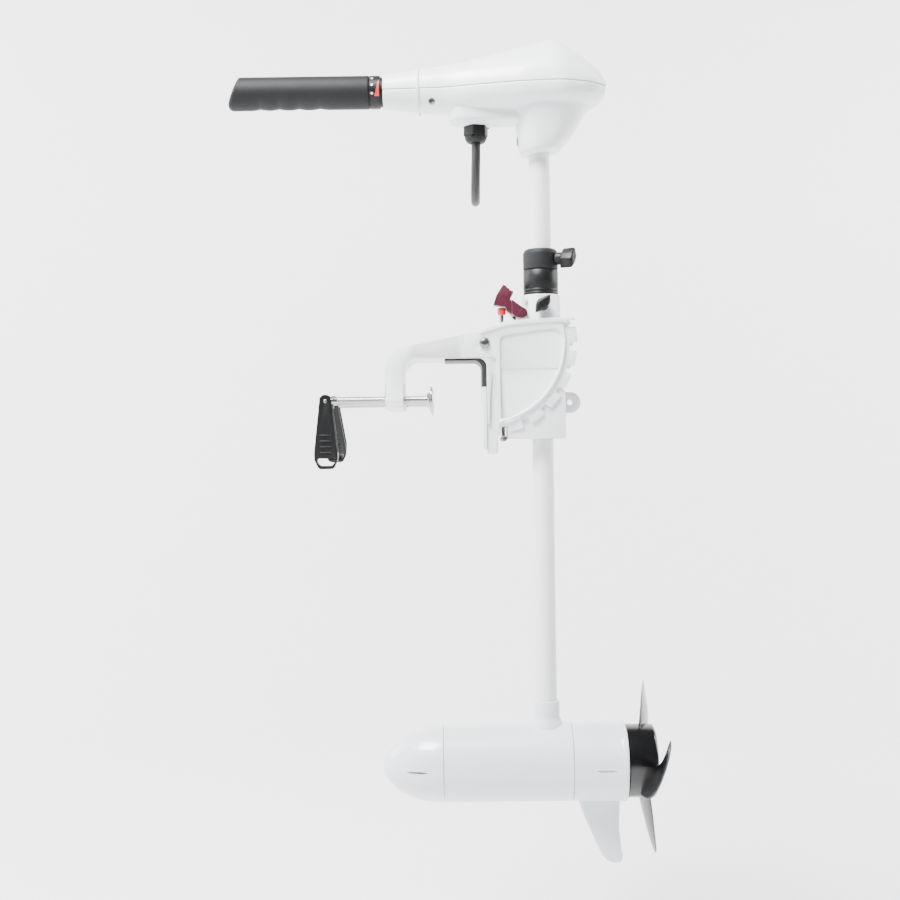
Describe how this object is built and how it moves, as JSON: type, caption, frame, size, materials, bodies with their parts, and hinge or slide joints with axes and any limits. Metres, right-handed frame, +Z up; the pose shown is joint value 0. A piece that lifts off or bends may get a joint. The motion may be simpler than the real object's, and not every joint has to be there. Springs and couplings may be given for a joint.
{
  "type": "transom-mount electric trolling motor",
  "caption": "Electric outboard for a small boat: screw clamp bracket with tilt lock, sliding steering shaft, twist-grip tiller head, and a submerged motor pod with skeg and propeller.",
  "frame": {"origin": "on the jaw face that rests on the transom, midway across, at the height of the clamp screws", "axes": "+X aft, towards the propeller; +Z up along the shaft; +Y to port when facing aft, completing a right-handed frame"},
  "size_m": [0.5071, 0.2676, 0.9961],
  "materials": {
    "cool_white": "satin",
    "shaft_white": "satin",
    "pod_paint": "satin",
    "black_plastic": "satin",
    "propeller_black": "gloss",
    "grip_rubber": "matte",
    "cable_rubber": "matte",
    "lever_maroon": "satin",
    "bushing_red": "satin",
    "zinc_plate": "satin",
    "steel": "satin",
    "tube_aluminium": "satin",
    "brass": "satin",
    "copper": "satin",
    "magnet_ferrite": "matte",
    "brush_carbon": "matte",
    "tie_nylon": "matte"
  },
  "bodies": {
    "bracket": {"clamp_bracket": "cool_white", "jaw_pad": "cool_white", "jaw_liner": "cable_rubber", "pivot_bolt": "steel", "pivot_nut": "steel"},
    "left_pad": {"left_clamp_pad": "zinc_plate"},
    "left_screw": {"left_clamp_screw": "zinc_plate", "left_handle_pin": "steel"},
    "left_handle": {"left_clamp_handle": "black_plastic"},
    "right_pad": {"right_clamp_pad": "zinc_plate"},
    "right_screw": {"right_clamp_screw": "zinc_plate", "right_handle_pin": "steel"},
    "right_handle": {"right_clamp_handle": "black_plastic"},
    "column": {"swivel_column": "cool_white", "lower_bushing": "black_plastic", "column_sleeve": "black_plastic", "lever_pin": "steel", "lock_spring": "steel"},
    "lock": {"lock_rod": "steel", "lever_bushing": "bushing_red"},
    "lever": {"tilt_lock_lever": "lever_maroon"},
    "steering_knob": {"steering_knob": "black_plastic"},
    "collar": {"depth_collar": "black_plastic"},
    "depth_knob": {"depth_knob": "black_plastic"},
    "shaft": {"shaft_tube": "shaft_white", "motor_lead": "cable_rubber", "motor_housing": "pod_paint", "nose_cone": "pod_paint", "rear_housing": "pod_paint", "front_housing_seal": "cable_rubber", "rear_housing_seal": "cable_rubber", "field_magnets": "magnet_ferrite", "brush_plate": "brush_carbon", "front_bearing": "steel", "rear_bearing": "steel", "shaft_seal": "cable_rubber", "left_through_bolt": "steel", "right_through_bolt": "steel", "head_lower_housing": "cool_white", "head_cover": "cool_white", "left_cover_screw": "steel", "right_cover_screw": "steel", "shaft_clamp_bolt": "steel", "speed_switch": "black_plastic", "gland_body": "black_plastic", "gland_nut": "black_plastic", "power_cable": "cable_rubber", "cable_hank": "cable_rubber", "hank_tie": "tie_nylon", "battery_plug": "black_plastic"},
    "rotor": {"motor_shaft": "steel", "armature": "copper", "drive_pin": "steel", "prop_nut": "steel", "propeller": "propeller_black"},
    "tiller": {"tiller_tube": "tube_aluminium", "speed_ring": "black_plastic"},
    "spindle": {"switch_spindle": "brass"},
    "grip": {"throttle_grip": "grip_rubber", "throttle_rod": "steel"}
  },
  "joints": [
    {"name": "left_pad_slide", "type": "slide", "parent": "bracket", "child": "left_pad", "axis": [1, 0, 0], "range_m": [-0.02, 0.044]},
    {"name": "left_screw_turn", "type": "hinge", "parent": "left_pad", "child": "left_screw", "pos_m": [-0.184, -0.048, 0], "axis": [1, 0, 0], "range_deg": [-3600, 7920]},
    {"name": "left_handle_fold", "type": "hinge", "parent": "left_screw", "child": "left_handle", "pos_m": [-0.184, -0.048, 0], "axis": [0, 1, 0], "range_deg": [0, 90]},
    {"name": "right_pad_slide", "type": "slide", "parent": "bracket", "child": "right_pad", "axis": [1, 0, 0], "range_m": [-0.02, 0.044]},
    {"name": "right_screw_turn", "type": "hinge", "parent": "right_pad", "child": "right_screw", "pos_m": [-0.184, 0.048, 0], "axis": [1, 0, 0], "range_deg": [-3600, 7920]},
    {"name": "right_handle_fold", "type": "hinge", "parent": "right_screw", "child": "right_handle", "pos_m": [-0.184, 0.048, 0], "axis": [0, 0.866, 0.5], "range_deg": [0, 90]},
    {"name": "tilt", "type": "hinge", "parent": "bracket", "child": "column", "pos_m": [0.0038, 0, 0.0674], "axis": [0, -1, 0], "range_deg": [0, 90]},
    {"name": "lever_turn", "type": "hinge", "parent": "column", "child": "lever", "pos_m": [0.05, 0, 0.103], "axis": [0, 1, 0], "range_deg": [0, 21.8]},
    {"name": "lock_slide", "type": "slide", "parent": "column", "child": "lock", "axis": [0, 0, 1], "range_m": [0, 0.0097], "deforming": ["lock_spring"]},
    {"name": "steering_knob_turn", "type": "hinge", "parent": "column", "child": "steering_knob", "pos_m": [0.0735, -0.023, 0.113], "axis": [0, -1, 0], "range_deg": [-180, 180]},
    {"name": "steer", "type": "hinge", "parent": "column", "child": "collar", "pos_m": [0.0735, 0, 0.1265], "axis": [0, 0, 1], "range_deg": [-180, 180]},
    {"name": "depth_knob_turn", "type": "hinge", "parent": "collar", "child": "depth_knob", "pos_m": [0.0735, 0, 0.169], "axis": [0.866, -0.5, 0], "range_deg": [-180, 180]},
    {"name": "depth", "type": "slide", "parent": "collar", "child": "shaft", "axis": [0, 0, 1], "range_m": [-0.1, 0.22]},
    {"name": "prop_spin", "type": "hinge", "parent": "shaft", "child": "rotor", "pos_m": [0, 0, -0.4374], "axis": [1, 0, 0], "continuous": true},
    {"name": "tiller_extend", "type": "slide", "parent": "shaft", "child": "tiller", "axis": [-1, 0, 0], "range_m": [0, 0.12]},
    {"name": "throttle_twist", "type": "hinge", "parent": "tiller", "child": "grip", "pos_m": [-0.2, 0, 0.3746], "axis": [1, 0, 0], "range_deg": [-90, 150]},
    {"name": "spindle_turn", "type": "hinge", "parent": "shaft", "child": "spindle", "pos_m": [0, 0, 0.3746], "axis": [1, 0, 0], "range_deg": [-90, 150]}
  ],
  "couplings": [
    {"joint": "left_screw_turn", "follows": "left_pad_slide", "rad_per_m": 3141.6},
    {"joint": "right_screw_turn", "follows": "right_pad_slide", "rad_per_m": 3141.6},
    {"joint": "lever_turn", "follows": "lock_slide", "rad_per_m": 39.2},
    {"joint": "spindle_turn", "follows": "throttle_twist", "ratio": 1}
  ]
}
